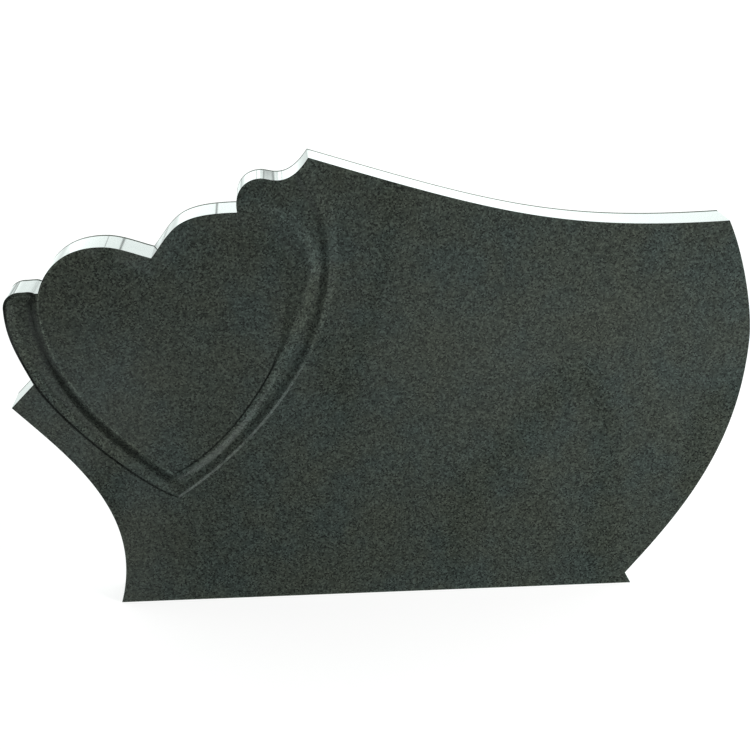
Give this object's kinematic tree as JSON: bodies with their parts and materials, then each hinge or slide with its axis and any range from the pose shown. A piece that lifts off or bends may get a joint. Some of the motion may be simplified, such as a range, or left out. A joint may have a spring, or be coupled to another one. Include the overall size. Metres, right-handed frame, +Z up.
{
  "type": "headstone",
  "caption": "Upright polished granite headstone slab with a swept top edge, a full right side, a pointed left wing and a double heart in low relief.",
  "frame": {"origin": "middle of the underside of the slab's box, on the ground", "axes": "+X to the viewer's right along the slab, +Y from the carved face to the plain back, +Z up"},
  "size_m": [1.265, 0.08, 0.8],
  "materials": {
    "granite": "polished dark grey granite"
  },
  "bodies": {
    "root": {"headstone_slab": "granite"}
  },
  "joints": []
}
